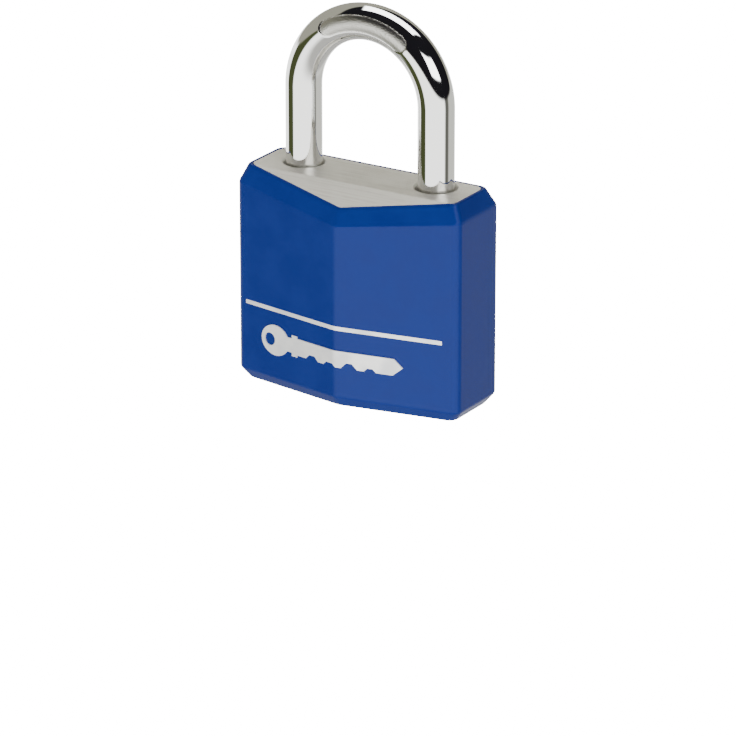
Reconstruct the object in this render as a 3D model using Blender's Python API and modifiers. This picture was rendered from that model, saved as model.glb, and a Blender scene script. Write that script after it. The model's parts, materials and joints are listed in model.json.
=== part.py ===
"""A covered padlock of the 40 mm class: an aluminium body in a moulded vinyl jacket,
a 1/4 inch shackle held by two latches, and a four pin cylinder that draws the latches.

X runs across the body from the heel leg to the toe leg, +Y is the flat back, +Z is up.
The origin is the middle of the bottom. The lock is closed, with the key withdrawn.
"""

import math

import bmesh
import bpy
from mathutils import Matrix, Vector

MM = 0.001

# Clearances between neighbours.
GAP = 0.25 * MM
RUNNING_GAP = 0.2 * MM

# Jacket, which gives the padlock its outer form.
WIDTH = 44.4 * MM
HEIGHT = 38.9 * MM
BACK_Y = 8.7 * MM
APEX_Y = -8.7 * MM
FACET_ANGLE = math.atan2(3.9, 22.2)
SIDE_RADIUS = 1.5 * MM
APEX_RADIUS = 1.2 * MM
WALL = 1.0 * MM
LIP = 0.3 * MM
PLUG_WINDOW_RADIUS = 6.0 * MM

# Top rim and bottom chamfer.
RIM_HEIGHT = 3.0 * MM
RIM_HALF_WIDTH = 20.75 * MM
RIM_BACK_Y = 7.35 * MM
RIM_APEX_Y = -7.5 * MM
RIDGE_Y = -3.6 * MM
APEX_DROP = 3.2 * MM
BASE_CHAMFER_INSET = 1.4 * MM
BASE_CHAMFER_HEIGHT = 1.9 * MM

# Shackle.
WIRE_RADIUS = 3.175 * MM
LEG_X = 13.2 * MM
LEG_Y = 2.65 * MM
LEG_BORE_RADIUS = 3.45 * MM
ARCH_CENTRE_Z = HEIGHT + 13.75 * MM
SHACKLE_LIFT = 10.0 * MM
TOE_TIP_Z = HEIGHT - SHACKLE_LIFT + 0.3 * MM
TOE_BORE_FLOOR_Z = TOE_TIP_Z - 0.6 * MM
HEEL_TIP_Z = 12.0 * MM
HEEL_BORE_FLOOR_Z = 4.0 * MM
NECK_RADIUS = 2.1 * MM
NECK_LOW_Z = 14.6 * MM
NECK_HIGH_Z = 27.4 * MM
TIP_CHAMFER = 0.7 * MM
HEEL_PIN_RADIUS = 1.0 * MM
HEEL_PIN_Z = 26.0 * MM
HEEL_PIN_X = -(LEG_X + NECK_RADIUS + GAP + HEEL_PIN_RADIUS)

# Latches, in two layers over the cam.
LATCH_LOW_Z = 33.4 * MM
LATCH_HIGH_Z = 36.2 * MM
LATCH_ARM = 1.25 * MM
LATCH_REACH = 11.1 * MM
LATCH_NOSE_Y = (0.7 * MM, 4.7 * MM)
NOTCH_DEPTH = 1.3 * MM
NOTCH_LOW_Z = LATCH_LOW_Z - 2.7 * MM
NOTCH_HIGH_Z = LATCH_HIGH_Z + 0.3 * MM
CHAMBER_HALF_WIDTH = 10.2 * MM
CHAMBER_FRONT_Y = -4.6 * MM
COVER_HALF_WIDTH = 10.4 * MM
COVER_LEDGE_Y = 5.3 * MM
COVER_THICKNESS = 1.0 * MM
COVER_Z = (32.7 * MM, 36.9 * MM)

# Cylinder: plug, cam and four pin stacks.
PLUG_RADIUS = 5.0 * MM
PLUG_FACE_Z = 0.6 * MM
PLUG_TOP_Z = 27.8 * MM
KEYWAY_DEPTH = 23.4 * MM
TANG_HALF = (2.2 * MM, 0.9 * MM)
TANG_TOP_Z = 29.6 * MM
PLUG_PIN_RADIUS = 0.8 * MM
PLUG_PIN_Z = 25.0 * MM
PLUG_GROOVE_RADIUS = 4.0 * MM
PLUG_PIN_X = -(PLUG_GROOVE_RADIUS + GAP + PLUG_PIN_RADIUS)
CAM_HUB_RADIUS = 2.7 * MM
CAM_RADIUS = 4.85 * MM
CAM_LOW_Z = 28.1 * MM
CAM_DISC_Z = (31.2 * MM, 32.9 * MM)
DRIVE_PIN_RADIUS = 0.8 * MM
DRIVE_PIN_CIRCLE = 3.0 * MM
DRIVE_PIN_OFFSET = DRIVE_PIN_CIRCLE * math.sin(math.radians(45.0))
STACK_Z = [7.0 * MM, 11.5 * MM, 16.0 * MM, 20.5 * MM]
KEY_PIN_LENGTHS = [3.1 * MM, 2.5 * MM, 3.4 * MM, 2.8 * MM]
TUMBLER_RADIUS = 1.45 * MM
TUMBLER_BORE_RADIUS = 1.7 * MM
KEY_PIN_END_X = 4.7 * MM
DRIVER_START_X = 5.45 * MM
DRIVER_LENGTH = 4.2 * MM
CHAMBER_PLUG_LENGTH = 3.0 * MM

# Springs.
SHACKLE_SPRING = {"radius": 2.45 * MM, "wire": 0.4 * MM, "turns": 4.5}
TUMBLER_SPRING = {"radius": 1.05 * MM, "wire": 0.2 * MM, "turns": 7.0}
CAM_SPRING = {"radius": 3.75 * MM, "wire": 0.35 * MM, "turns": 2.5}
POINTS_PER_TURN = 10

ROUND_SIDES = 32
SMALL_SIDES = 16
OVERSHOOT = 2.0 * MM
MERGE = 0.000002


def clear_scene():
    """Removes the startup objects."""
    for obj in list(bpy.data.objects):
        bpy.data.objects.remove(obj, do_unlink=True)


def make_collection(name):
    """A collection linked to the scene."""
    collection = bpy.data.collections.new(name)
    bpy.context.scene.collection.children.link(collection)
    return collection


def make_material(name, colour, roughness, metallic):
    """A Principled material of one colour."""
    material = bpy.data.materials.new(name)
    material.use_nodes = True
    shader = material.node_tree.nodes["Principled BSDF"]
    shader.inputs["Base Color"].default_value = (*colour, 1.0)
    shader.inputs["Roughness"].default_value = roughness
    shader.inputs["Metallic"].default_value = metallic
    return material


clear_scene()
PARTS = make_collection("padlock")
CUTTERS = make_collection("cutters")
PLUG_AXIS = bpy.data.objects.new("plug_axis", None)
PARTS.objects.link(PLUG_AXIS)
VINYL = make_material("blue_vinyl", (0.02, 0.07, 0.33), 0.45, 0.0)
ALUMINIUM = make_material("milled_aluminium", (0.56, 0.55, 0.5), 0.4, 1.0)
CHROME = make_material("chrome_plated_steel", (0.62, 0.63, 0.63), 0.08, 1.0)
BRASS = make_material("brass", (0.62, 0.45, 0.18), 0.3, 1.0)
SPRING_STEEL = make_material("spring_steel", (0.4, 0.4, 0.42), 0.3, 1.0)
HARD_STEEL = make_material("hardened_steel", (0.3, 0.3, 0.31), 0.35, 1.0)


def finish_part(obj, material):
    """Names the piece's material and shades its round faces smooth."""
    obj.data.materials.clear()
    obj.data.materials.append(material)
    obj.data.shade_smooth()
    obj.data.set_sharp_from_angle(angle=math.radians(35.0))
    return obj


def object_from_bmesh(name, bm, location=(0.0, 0.0, 0.0)):
    """A new helper in the cutters' collection, which add_part turns into a piece."""
    mesh = bpy.data.meshes.new(name)
    bm.to_mesh(mesh)
    bm.free()
    obj = bpy.data.objects.new(name, mesh)
    obj.location = location
    CUTTERS.objects.link(obj)
    obj.hide_render = True
    obj.display_type = "WIRE"
    return obj


def add_part(obj, material):
    """Turns a helper object into one of the padlock's pieces."""
    CUTTERS.objects.unlink(obj)
    PARTS.objects.link(obj)
    obj.hide_render = False
    obj.display_type = "TEXTURED"
    return finish_part(obj, material)


def box(name, low, high, location=(0.0, 0.0, 0.0)):
    """A box between two corners, given from its location."""
    bm = bmesh.new()
    bmesh.ops.create_cube(bm, size=1.0)
    size = [top - bottom for bottom, top in zip(low, high)]
    middle = [(top + bottom) / 2.0 for bottom, top in zip(low, high)]
    bmesh.ops.scale(bm, vec=size, verts=bm.verts)
    bmesh.ops.translate(bm, vec=middle, verts=bm.verts)
    return object_from_bmesh(name, bm, location)


def cylinder(name, radius, low, high, axis="Z", sides=ROUND_SIDES, location=(0.0, 0.0, 0.0)):
    """A cylinder along an axis through its location, between two distances along it."""
    turns = {
        "X": Matrix.Rotation(math.radians(90.0), 4, "Y"),
        "Y": Matrix.Rotation(math.radians(-90.0), 4, "X"),
        "Z": Matrix.Identity(4),
    }
    bm = bmesh.new()
    bmesh.ops.create_cone(
        bm,
        cap_ends=True,
        segments=sides,
        radius1=radius,
        radius2=radius,
        depth=high - low,
        matrix=turns[axis] @ Matrix.Translation((0.0, 0.0, (high + low) / 2.0)),
    )
    return object_from_bmesh(name, bm, location)


def turned(name, profile, sides, location=(0.0, 0.0, 0.0), closed=False):
    """A turned shape: (radius, height) points from top to bottom, spun about the location's Z."""
    bm = bmesh.new()
    verts = [bm.verts.new((radius, 0.0, height)) for radius, height in profile]
    for first, second in zip(verts, verts[1:]):
        bm.edges.new((first, second))
    if closed:
        bm.edges.new((verts[-1], verts[0]))
    obj = object_from_bmesh(name, bm, location)
    screw = obj.modifiers.new("turn", "SCREW")
    screw.axis = "Z"
    screw.steps = sides
    screw.render_steps = sides
    screw.use_merge_vertices = True
    screw.merge_threshold = MERGE
    return obj


def boolean(obj, other, operation):
    """Cuts or joins another object with an exact Boolean."""
    modifier = obj.modifiers.new(other.name, "BOOLEAN")
    modifier.operation = operation
    modifier.solver = "EXACT"
    modifier.object = other


def cut(obj, *cutters):
    """Takes each cutter away from an object."""
    for cutter in cutters:
        boolean(obj, cutter, "DIFFERENCE")


def join(obj, *others):
    """Adds each other shape to an object."""
    for other in others:
        boolean(obj, other, "UNION")


def wire(name, points, radius, resolution, location=(0.0, 0.0, 0.0)):
    """A round wire along points, as a closed mesh with welded ends."""
    curve = bpy.data.curves.new(name, "CURVE")
    curve.dimensions = "3D"
    curve.bevel_depth = radius
    curve.bevel_resolution = resolution
    curve.use_fill_caps = True
    spline = curve.splines.new("POLY")
    spline.points.add(len(points) - 1)
    for point, place in zip(spline.points, points):
        point.co = (*place, 1.0)
    guide = bpy.data.objects.new(name + "_guide", curve)
    CUTTERS.objects.link(guide)
    bpy.context.view_layer.update()
    graph = bpy.context.evaluated_depsgraph_get()
    mesh = bpy.data.meshes.new_from_object(guide.evaluated_get(graph))
    bpy.data.objects.remove(guide, do_unlink=True)
    bm = bmesh.new()
    bm.from_mesh(mesh)
    bmesh.ops.remove_doubles(bm, verts=bm.verts, dist=MERGE)
    bmesh.ops.recalc_face_normals(bm, faces=bm.faces)
    return object_from_bmesh(name, bm, location)


def coil_points(radius, low, high, turns):
    """Points along a helix about Z, with its ends laid flat for a third of a turn."""
    count = round(turns * POINTS_PER_TURN)
    points = []
    for step in range(count + 1):
        share = step / count
        flat = 1.0 / (3.0 * turns)
        rise = min(max((share - flat) / (1.0 - 2.0 * flat), 0.0), 1.0)
        angle = 2.0 * math.pi * turns * share
        points.append((radius * math.cos(angle), radius * math.sin(angle), low + (high - low) * rise))
    return points


def coil_spring(name, spring, length, location):
    """A compression spring that fills a length up from its location, wire included."""
    low = spring["wire"]
    points = coil_points(spring["radius"], low, length - low, spring["turns"])
    return wire(name, points, spring["wire"], 2, location)


def rounded_outline(corners, radii):
    """The corners of a flat outline, each one with a radius replaced by an arc."""
    points = []
    for index, (corner, radius) in enumerate(zip(corners, radii)):
        here = Vector(corner)
        before = (Vector(corners[index - 1]) - here).normalized()
        after = (Vector(corners[(index + 1) % len(corners)]) - here).normalized()
        half_angle = before.angle(after) / 2.0
        centre = here + (before + after).normalized() * radius / math.sin(half_angle)
        start = here + before * radius / math.tan(half_angle) - centre
        end = here + after * radius / math.tan(half_angle) - centre
        sweep = start.angle_signed(end)
        steps = max(2, round(abs(sweep) / math.radians(20.0)))
        for step in range(steps + 1):
            points.append(centre + Matrix.Rotation(-sweep * step / steps, 2) @ start)
    return points


def trim(bm, first, second, third, inside):
    """Cuts a closed form on the plane through three points and keeps the side that holds inside."""
    normal = (Vector(second) - Vector(first)).cross(Vector(third) - Vector(first)).normalized()
    if normal.dot(Vector(inside) - Vector(first)) > 0.0:
        normal.negate()
    geometry = bm.verts[:] + bm.edges[:] + bm.faces[:]
    result = bmesh.ops.bisect_plane(
        bm, geom=geometry, dist=1e-7, plane_co=first, plane_no=normal, clear_outer=True
    )
    edges = [item for item in result["geom_cut"] if isinstance(item, bmesh.types.BMEdge)]
    bmesh.ops.edgeloop_fill(bm, edges=edges)


def padlock_form(name, inset, rim_inset, floor_z, open_top=False):
    """The padlock's outer form drawn in by inset, and by rim_inset at the top rim.

    The front is a shallow V in plan. The flat top breaks down along a ridge towards the apex
    of the V. An open top runs on upwards, for a form that is cut away from another.
    """
    half = WIDTH / 2.0 - inset
    back = BACK_Y - inset
    apex = APEX_Y + inset / math.cos(FACET_ANGLE)
    corner = apex + half * math.tan(FACET_ANGLE)
    side_radius = max(SIDE_RADIUS - inset, 0.5 * MM)
    radii = [side_radius, side_radius, APEX_RADIUS, side_radius, side_radius]
    corners = [(-half, back), (-half, corner), (0.0, apex), (half, corner), (half, back)]
    top = HEIGHT + (OVERSHOOT if open_top else 0.0)

    bm = bmesh.new()
    outline = [bm.verts.new((x, y, floor_z)) for x, y in rounded_outline(corners, radii)]
    face = bm.faces.new(outline)
    raised = bmesh.ops.extrude_face_region(bm, geom=[face])
    lifted = [item for item in raised["geom"] if isinstance(item, bmesh.types.BMVert)]
    bmesh.ops.translate(bm, vec=(0.0, 0.0, top - floor_z), verts=lifted)
    bmesh.ops.recalc_face_normals(bm, faces=bm.faces)

    inside = (0.0, 0.0, HEIGHT / 2.0)
    rim_z = HEIGHT - RIM_HEIGHT
    rim_half = RIM_HALF_WIDTH - rim_inset
    rim_back = RIM_BACK_Y - rim_inset
    rim_apex = RIM_APEX_Y + rim_inset
    chamfer_top = floor_z + BASE_CHAMFER_HEIGHT
    for side in (-1.0, 1.0):
        trim(
            bm,
            (side * half, back, rim_z),
            (side * half, corner, rim_z),
            (side * rim_half, 0.0, HEIGHT),
            inside,
        )
        trim(
            bm,
            (side * half, corner, rim_z),
            (0.0, apex, rim_z - APEX_DROP),
            (0.0, rim_apex, HEIGHT - APEX_DROP),
            inside,
        )
        base_half = half - BASE_CHAMFER_INSET
        trim(
            bm,
            (side * half, back, chamfer_top),
            (side * half, corner, chamfer_top),
            (side * base_half, 0.0, floor_z),
            inside,
        )
        base_apex = apex + BASE_CHAMFER_INSET
        trim(
            bm,
            (side * half, corner, chamfer_top),
            (0.0, apex, chamfer_top),
            (0.0, base_apex, floor_z),
            inside,
        )
    trim(bm, (-half, back, rim_z), (half, back, rim_z), (0.0, rim_back, HEIGHT), inside)
    base_back = back - BASE_CHAMFER_INSET
    trim(bm, (-half, back, chamfer_top), (half, back, chamfer_top), (0.0, base_back, floor_z), inside)
    if not open_top:
        aluminium_apex = RIM_APEX_Y + LIP + RUNNING_GAP
        trim(
            bm,
            (-half, RIDGE_Y, HEIGHT),
            (half, RIDGE_Y, HEIGHT),
            (0.0, aluminium_apex, HEIGHT - APEX_DROP),
            inside,
        )
    return object_from_bmesh(name, bm)


def make_jacket():
    """The moulded vinyl jacket: sides, rim and bottom, with a window over the plug."""
    jacket = padlock_form("vinyl_jacket", 0.0, 0.0, 0.0)
    hollow = padlock_form("jacket_hollow", WALL, LIP, WALL, open_top=True)
    window = cylinder("plug_window", PLUG_WINDOW_RADIUS, -OVERSHOOT, WALL + OVERSHOOT)
    cut(jacket, hollow, window)
    add_part(jacket, VINYL)


def make_body():
    """The solid aluminium body, with every bore and chamber that its works need."""
    body = padlock_form("body_block", WALL + GAP, LIP + RUNNING_GAP, WALL + GAP)
    through_back = BACK_Y + OVERSHOOT
    cut(
        body,
        cylinder("plug_bore", PLUG_RADIUS + RUNNING_GAP, -OVERSHOOT, LATCH_LOW_Z),
        cylinder(
            "toe_bore",
            LEG_BORE_RADIUS,
            TOE_BORE_FLOOR_Z,
            HEIGHT + OVERSHOOT,
            location=(LEG_X, LEG_Y, 0.0),
        ),
        cylinder(
            "heel_bore",
            LEG_BORE_RADIUS,
            HEEL_BORE_FLOOR_Z,
            HEIGHT + OVERSHOOT,
            location=(-LEG_X, LEG_Y, 0.0),
        ),
        box(
            "latch_chamber",
            (-CHAMBER_HALF_WIDTH, CHAMBER_FRONT_Y, LATCH_LOW_Z - GAP),
            (CHAMBER_HALF_WIDTH, through_back, LATCH_HIGH_Z + GAP),
        ),
        box(
            "nose_channel",
            (-LATCH_REACH - GAP, LATCH_NOSE_Y[0] - GAP, LATCH_LOW_Z - GAP),
            (LATCH_REACH + GAP, LATCH_NOSE_Y[1] + GAP, LATCH_HIGH_Z + GAP),
        ),
        box(
            "cover_recess",
            (-COVER_HALF_WIDTH - GAP, COVER_LEDGE_Y, COVER_Z[0] - GAP),
            (COVER_HALF_WIDTH + GAP, through_back, COVER_Z[1] + GAP),
        ),
        cylinder(
            "heel_pin_bore",
            HEEL_PIN_RADIUS + GAP,
            LEG_Y - LEG_BORE_RADIUS - OVERSHOOT,
            through_back,
            axis="Y",
            sides=SMALL_SIDES,
            location=(HEEL_PIN_X, 0.0, HEEL_PIN_Z),
        ),
        cylinder(
            "plug_pin_bore",
            PLUG_PIN_RADIUS + GAP,
            -PLUG_RADIUS,
            through_back,
            axis="Y",
            sides=SMALL_SIDES,
            location=(PLUG_PIN_X, 0.0, PLUG_PIN_Z),
        ),
    )
    for number, stack_z in enumerate(STACK_Z, start=1):
        chamber = cylinder(
            f"tumbler_bore_{number}",
            TUMBLER_BORE_RADIUS,
            PLUG_RADIUS / 2.0,
            WIDTH / 2.0 + OVERSHOOT,
            axis="X",
            sides=SMALL_SIDES,
            location=(0.0, 0.0, stack_z),
        )
        cut(body, chamber)
    add_part(body, ALUMINIUM)


def make_cover():
    """The plate that closes the latch chamber at the back, under the jacket."""
    low = (-COVER_HALF_WIDTH, COVER_LEDGE_Y + GAP, COVER_Z[0])
    high = (COVER_HALF_WIDTH, COVER_LEDGE_Y + GAP + COVER_THICKNESS, COVER_Z[1])
    add_part(box("latch_cover", low, high), HARD_STEEL)


def make_shackle():
    """The bent shackle, with a notch in each leg and a neck in the heel leg."""
    foot = Vector((-LEG_X, LEG_Y, 0.0))
    arch_steps = 28
    points = [(0.0, 0.0, HEEL_TIP_Z), (0.0, 0.0, HEIGHT)]
    for step in range(arch_steps + 1):
        angle = math.pi * (1.0 - step / arch_steps)
        points.append((LEG_X + LEG_X * math.cos(angle), 0.0, ARCH_CENTRE_Z + LEG_X * math.sin(angle)))
    points.extend([(2.0 * LEG_X, 0.0, HEIGHT), (2.0 * LEG_X, 0.0, TOE_TIP_Z)])
    shackle = wire("shackle", points, WIRE_RADIUS, 10, foot)
    outside = WIRE_RADIUS + OVERSHOOT
    neck = turned(
        "heel_neck",
        [
            (NECK_RADIUS, NECK_HIGH_Z),
            (outside, NECK_HIGH_Z),
            (outside, NECK_LOW_Z),
            (NECK_RADIUS, NECK_LOW_Z),
        ],
        ROUND_SIDES,
        foot,
        closed=True,
    )
    cut(shackle, neck)
    for name, leg_x, tip_z in (("heel", 0.0, HEEL_TIP_Z), ("toe", 2.0 * LEG_X, TOE_TIP_Z)):
        inner = WIRE_RADIUS - TIP_CHAMFER
        chamfer = turned(
            name + "_tip_chamfer",
            [
                (outside, tip_z + TIP_CHAMFER + OVERSHOOT),
                (outside, tip_z - OVERSHOOT),
                (inner - OVERSHOOT, tip_z - OVERSHOOT),
            ],
            ROUND_SIDES,
            foot + Vector((leg_x, 0.0, 0.0)),
            closed=True,
        )
        facing = 1.0 if name == "heel" else -1.0
        floor_x = leg_x + facing * (WIRE_RADIUS - NOTCH_DEPTH)
        edges = sorted([floor_x, floor_x + facing * outside])
        notch = box(
            name + "_notch",
            (edges[0], -outside, NOTCH_LOW_Z),
            (edges[1], outside, NOTCH_HIGH_Z),
            foot,
        )
        cut(shackle, chamfer, notch)
    add_part(shackle, CHROME)


def make_shackle_fittings():
    """The spring under the heel leg and the pin that keeps that leg in the body."""
    length = HEEL_TIP_Z - HEEL_BORE_FLOOR_Z - 2.0 * GAP
    spring = coil_spring("shackle_spring", SHACKLE_SPRING, length, (-LEG_X, LEG_Y, HEEL_BORE_FLOOR_Z + GAP))
    add_part(spring, SPRING_STEEL)
    heel_pin = cylinder(
        "heel_pin",
        HEEL_PIN_RADIUS,
        LEG_Y - LEG_BORE_RADIUS - OVERSHOOT + GAP,
        BACK_Y - WALL - 2.0 * GAP,
        axis="Y",
        sides=SMALL_SIDES,
        location=(HEEL_PIN_X, 0.0, HEEL_PIN_Z),
    )
    add_part(heel_pin, HARD_STEEL)


def make_latches():
    """The toe latch, whose arm is the lower layer, and the heel latch, whose arm is the upper one."""
    slot_half = DRIVE_PIN_RADIUS + 0.35 * MM
    slot_near = DRIVE_PIN_OFFSET - DRIVE_PIN_RADIUS - GAP
    slot_far = DRIVE_PIN_CIRCLE + DRIVE_PIN_RADIUS + GAP
    nose_low, nose_high = LATCH_NOSE_Y
    arm_top = LATCH_LOW_Z + LATCH_ARM
    arm_bottom = LATCH_HIGH_Z - LATCH_ARM
    slot_x = (DRIVE_PIN_OFFSET - slot_half, DRIVE_PIN_OFFSET + slot_half)

    toe = box("toe_latch", (7.2 * MM, nose_low, LATCH_LOW_Z), (LATCH_REACH, nose_high, LATCH_HIGH_Z))
    toe_arm = box("toe_arm", (0.2 * MM, 0.3 * MM, LATCH_LOW_Z), (8.2 * MM, 5.0 * MM, arm_top))
    toe_slot = box(
        "toe_slot",
        (slot_x[0], slot_near, LATCH_LOW_Z - OVERSHOOT),
        (slot_x[1], slot_far, arm_top + OVERSHOOT),
    )
    join(toe, toe_arm)
    cut(toe, toe_slot)
    add_part(toe, HARD_STEEL)

    heel = box("heel_latch", (-LATCH_REACH, nose_low, LATCH_LOW_Z), (-8.7 * MM, nose_high, LATCH_HIGH_Z))
    heel_web = box("heel_web", (-9.0 * MM, -4.3 * MM, arm_bottom), (-5.0 * MM, 4.8 * MM, LATCH_HIGH_Z))
    heel_arm = box("heel_arm", (-6.0 * MM, -4.3 * MM, arm_bottom), (-0.2 * MM, -0.2 * MM, LATCH_HIGH_Z))
    heel_slot = box(
        "heel_slot",
        (-slot_x[1], -slot_far, arm_bottom - OVERSHOOT),
        (-slot_x[0], -slot_near, LATCH_HIGH_Z + OVERSHOOT),
    )
    join(heel, heel_web, heel_arm)
    cut(heel, heel_slot)
    add_part(heel, HARD_STEEL)


def make_cam():
    """The cam on the plug's tang: a hub, a disc and the two pins that drive the latches."""
    cam = turned(
        "cam",
        [
            (0.0, CAM_DISC_Z[1]),
            (CAM_RADIUS, CAM_DISC_Z[1]),
            (CAM_RADIUS, CAM_DISC_Z[0]),
            (CAM_HUB_RADIUS, CAM_DISC_Z[0]),
            (CAM_HUB_RADIUS, CAM_LOW_Z),
            (0.0, CAM_LOW_Z),
        ],
        ROUND_SIDES,
    )
    tops = {"toe": LATCH_LOW_Z + LATCH_ARM - 0.1 * MM, "heel": LATCH_HIGH_Z - 0.1 * MM}
    for side, name in ((1.0, "toe"), (-1.0, "heel")):
        pin = cylinder(
            name + "_drive_pin",
            DRIVE_PIN_RADIUS,
            CAM_DISC_Z[0] + 0.5 * MM,
            tops[name],
            sides=SMALL_SIDES,
            location=(side * DRIVE_PIN_OFFSET, side * DRIVE_PIN_OFFSET, 0.0),
        )
        join(cam, pin)
    half_y = TANG_HALF[1]
    tang_slot = box(
        "tang_slot",
        (-CAM_RADIUS, -half_y - GAP, CAM_LOW_Z - OVERSHOOT),
        (CAM_RADIUS, half_y + GAP, TANG_TOP_Z + GAP),
    )
    cut(cam, tang_slot)
    add_part(cam, HARD_STEEL)

    length = CAM_DISC_Z[0] - PLUG_TOP_Z - 2.0 * GAP
    spring = coil_spring("cam_spring", CAM_SPRING, length, (0.0, 0.0, PLUG_TOP_Z + GAP))
    add_part(spring, SPRING_STEEL)


def keyway_cutter():
    """The warded keyway: three straight steps, open to the heel side of the plug."""
    steps = [
        (-PLUG_RADIUS - OVERSHOOT, -2.2 * MM, -0.5 * MM, 0.9 * MM),
        (-2.2 * MM, 0.6 * MM, -0.9 * MM, 0.4 * MM),
        (0.6 * MM, 3.2 * MM, -0.4 * MM, 0.9 * MM),
    ]
    overlap = 0.05 * MM
    cutters = []
    for number, (low_x, high_x, low_y, high_y) in enumerate(steps, start=1):
        cutters.append(
            box(
                f"keyway_step_{number}",
                (low_x - overlap, low_y, PLUG_FACE_Z - OVERSHOOT),
                (high_x + overlap, high_y, KEYWAY_DEPTH),
            )
        )
    return cutters


def make_plug():
    """The brass plug, with its keyway, pin chambers, retaining groove and tang."""
    groove_low = PLUG_PIN_Z - PLUG_PIN_RADIUS - GAP
    groove_high = PLUG_PIN_Z + PLUG_PIN_RADIUS + GAP
    face_chamfer = 0.4 * MM
    plug = turned(
        "plug",
        [
            (0.0, PLUG_TOP_Z),
            (PLUG_RADIUS, PLUG_TOP_Z),
            (PLUG_RADIUS, groove_high),
            (PLUG_GROOVE_RADIUS, groove_high),
            (PLUG_GROOVE_RADIUS, groove_low),
            (PLUG_RADIUS, groove_low),
            (PLUG_RADIUS, PLUG_FACE_Z + face_chamfer),
            (PLUG_RADIUS - face_chamfer, PLUG_FACE_Z),
            (0.0, PLUG_FACE_Z),
        ],
        ROUND_SIDES,
    )
    half_x, half_y = TANG_HALF
    join(plug, box("tang", (-half_x, -half_y, PLUG_TOP_Z - 1.0 * MM), (half_x, half_y, TANG_TOP_Z)))
    cut(plug, *keyway_cutter())
    for number, stack_z in enumerate(STACK_Z, start=1):
        cut(
            plug,
            cylinder(
                f"plug_chamber_{number}",
                TUMBLER_BORE_RADIUS - 0.05 * MM,
                1.0 * MM,
                PLUG_RADIUS + OVERSHOOT,
                axis="X",
                sides=SMALL_SIDES,
                location=(0.0, 0.0, stack_z),
            ),
        )
    add_part(plug, BRASS)
    retaining_pin = cylinder(
        "plug_pin",
        PLUG_PIN_RADIUS,
        -PLUG_RADIUS + GAP,
        BACK_Y - WALL - 2.0 * GAP,
        axis="Y",
        sides=SMALL_SIDES,
        location=(PLUG_PIN_X, 0.0, PLUG_PIN_Z),
    )
    add_part(retaining_pin, HARD_STEEL)


def tumbler(name, length, tip, end_x, stack_z, material):
    """A pin of a stack, turned about X, with its outer end at end_x and a cone at its inner end."""
    blunt = TUMBLER_RADIUS * 0.45
    profile = [
        (0.0, length),
        (blunt, length),
        (TUMBLER_RADIUS, length - tip),
        (TUMBLER_RADIUS, 0.0),
        (0.0, 0.0),
    ]
    pin = turned(name, profile, SMALL_SIDES, (end_x, 0.0, stack_z))
    pin.rotation_euler = (0.0, math.radians(-90.0), 0.0)
    add_part(pin, material)
    return pin


def make_stacks():
    """Four stacks: key pin, driver, spring and the plug that closes the chamber at the side."""
    side_x = WIDTH / 2.0 - WALL - GAP
    closure_x = side_x - CHAMBER_PLUG_LENGTH
    driver_end_x = DRIVER_START_X + DRIVER_LENGTH
    for number, (stack_z, key_length) in enumerate(zip(STACK_Z, KEY_PIN_LENGTHS), start=1):
        key_pin = tumbler(f"key_pin_{number}", key_length, 0.8 * MM, KEY_PIN_END_X, stack_z, BRASS)
        key_pin.parent = PLUG_AXIS
        tumbler(f"driver_pin_{number}", DRIVER_LENGTH, 0.2 * MM, driver_end_x, stack_z, HARD_STEEL)
        length = closure_x - driver_end_x - 2.0 * GAP
        spring = coil_spring(
            f"pin_spring_{number}", TUMBLER_SPRING, length, (driver_end_x + GAP, 0.0, stack_z)
        )
        spring.rotation_euler = (0.0, math.radians(90.0), 0.0)
        add_part(spring, SPRING_STEEL)
        closure = cylinder(
            f"chamber_plug_{number}",
            TUMBLER_RADIUS,
            closure_x,
            side_x - 0.1 * MM,
            axis="X",
            sides=SMALL_SIDES,
            location=(0.0, 0.0, stack_z),
        )
        add_part(closure, ALUMINIUM)


make_jacket()
make_body()
make_cover()
make_shackle()
make_shackle_fittings()
make_latches()
make_cam()
make_plug()
make_stacks()
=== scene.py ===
"""The looks of a covered padlock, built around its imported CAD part.

The jacket, the body, the shackle, the silver line and the key mark are modelled here, and the
plug gets broken edges. The cam, the latches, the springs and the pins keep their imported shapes
and get finishes.
Lengths are in metres: +X runs to the toe leg, +Y to the flat back and +Z up.
"""

from __future__ import annotations

import json
import logging
import math
from collections.abc import Callable, Iterable
from dataclasses import dataclass, field
from enum import Enum

import bmesh
import bpy
from mathutils import Matrix, Vector
from mathutils.bvhtree import BVHTree


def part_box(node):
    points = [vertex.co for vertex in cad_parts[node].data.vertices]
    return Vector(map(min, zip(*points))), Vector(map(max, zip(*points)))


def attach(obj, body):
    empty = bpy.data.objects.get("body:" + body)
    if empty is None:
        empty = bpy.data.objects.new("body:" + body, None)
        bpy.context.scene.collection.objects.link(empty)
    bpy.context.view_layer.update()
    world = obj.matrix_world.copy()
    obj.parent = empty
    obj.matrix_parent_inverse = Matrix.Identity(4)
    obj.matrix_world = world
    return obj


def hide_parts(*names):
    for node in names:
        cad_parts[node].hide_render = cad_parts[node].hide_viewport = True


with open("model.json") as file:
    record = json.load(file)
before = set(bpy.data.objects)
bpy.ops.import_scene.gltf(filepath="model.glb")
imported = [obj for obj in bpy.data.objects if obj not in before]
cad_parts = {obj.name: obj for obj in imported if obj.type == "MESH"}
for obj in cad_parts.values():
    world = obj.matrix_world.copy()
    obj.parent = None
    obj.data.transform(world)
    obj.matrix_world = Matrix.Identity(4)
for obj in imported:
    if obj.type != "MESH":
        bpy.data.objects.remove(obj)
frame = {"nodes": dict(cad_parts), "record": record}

MM = 0.001
PLANE_REACH = 1e-7
WELD_DISTANCE = 0.001 * MM
CAD_WELD_DISTANCE = 0.002 * MM
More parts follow.
